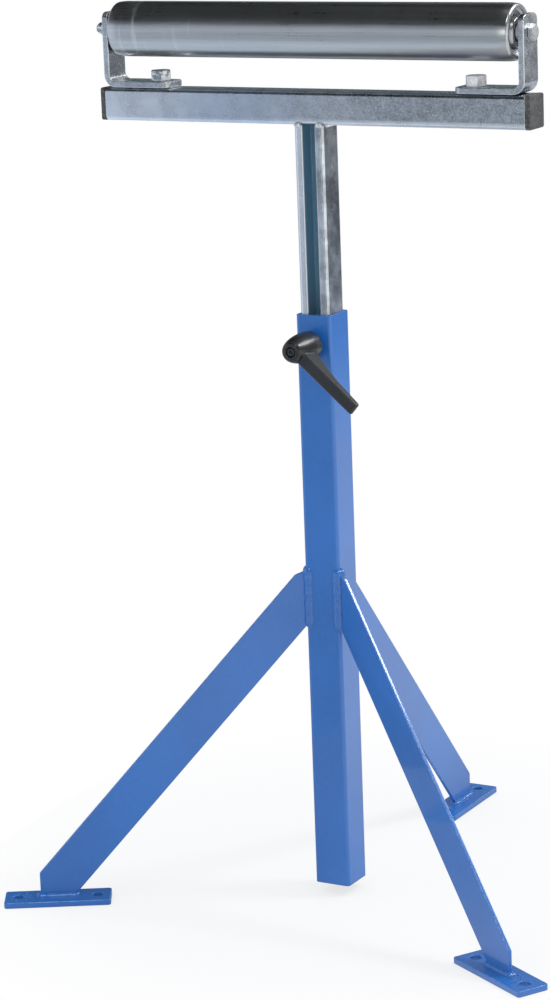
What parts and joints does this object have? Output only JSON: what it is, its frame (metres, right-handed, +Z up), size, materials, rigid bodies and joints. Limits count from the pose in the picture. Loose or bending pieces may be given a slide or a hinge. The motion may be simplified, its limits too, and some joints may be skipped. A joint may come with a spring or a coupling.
{
  "type": "roller stand",
  "caption": "Free-standing work support: three flat-bar legs on a square post, a sliding channel held by a clamp lever, and a crossbar that carries a free-turning steel roller.",
  "frame": {"origin": "on the floor, in the middle of the box round the three feet", "axes": "+X along the crossbar and the roller to the right as seen from the front, +Y to the rear leg, +Z up"},
  "size_m": [0.7808, 0.6806, 1.158],
  "materials": {
    "blue_paint": "glossy blue powder coat",
    "zinc_plate": "bright zinc plate, slightly blue",
    "roller_steel": "drawn steel tube, satin",
    "bearing_steel": "ground steel",
    "black_plastic": "matt black moulding",
    "black_casting": "fine-textured black coating on a die casting",
    "black_steel": "blackened steel screw"
  },
  "bodies": {
    "stand": {"post_tube": "blue_paint", "leg_front_left": "blue_paint", "foot_plate_front_left": "blue_paint", "leg_front_right": "blue_paint", "foot_plate_front_right": "blue_paint", "leg_rear": "blue_paint", "foot_plate_rear": "blue_paint", "clamp_boss": "blue_paint"},
    "mast": {"mast_channel": "zinc_plate", "crossbar": "zinc_plate", "end_cap_left": "black_plastic", "end_cap_right": "black_plastic", "bracket_left": "zinc_plate", "bracket_right": "zinc_plate", "bracket_bolt_left": "zinc_plate", "bracket_bolt_right": "zinc_plate", "bracket_nut_left": "zinc_plate", "bracket_nut_right": "zinc_plate", "axle_bolt": "zinc_plate", "axle_cap_nut": "zinc_plate", "axle_spacer_left": "zinc_plate", "axle_spacer_right": "zinc_plate", "bearing_inner_ring_left": "bearing_steel", "bearing_inner_ring_right": "bearing_steel"},
    "roller": {"roller_tube": "roller_steel", "bearing_housing_left": "zinc_plate", "bearing_housing_right": "zinc_plate", "bearing_outer_ring_left": "bearing_steel", "bearing_outer_ring_right": "bearing_steel", "bearing_seal_left": "black_plastic", "bearing_seal_right": "black_plastic"},
    "clamp": {"clamp_stud": "zinc_plate", "lever_screw": "black_steel"},
    "handle": {"lever_handle": "black_casting"}
  },
  "joints": [
    {"name": "mast_slide", "type": "slide", "parent": "stand", "child": "mast", "axis": [0, 0, 1], "range_m": [-0.232, 0.3]},
    {"name": "roller_spin", "type": "hinge", "parent": "mast", "child": "roller", "pos_m": [0, -0.09542, 1.123], "axis": [1, 0, 0], "continuous": true},
    {"name": "clamp_turn", "type": "hinge", "parent": "stand", "child": "clamp", "pos_m": [0, -0.12043, 0.7336], "axis": [0, -1, 0], "range_deg": [0, 90]},
    {"name": "handle_lift", "type": "slide", "parent": "clamp", "child": "handle", "axis": [0, -1, 0], "range_m": [0, 0.005], "stiffness_N_per_m": 2000, "springref_m": -0.003}
  ]
}
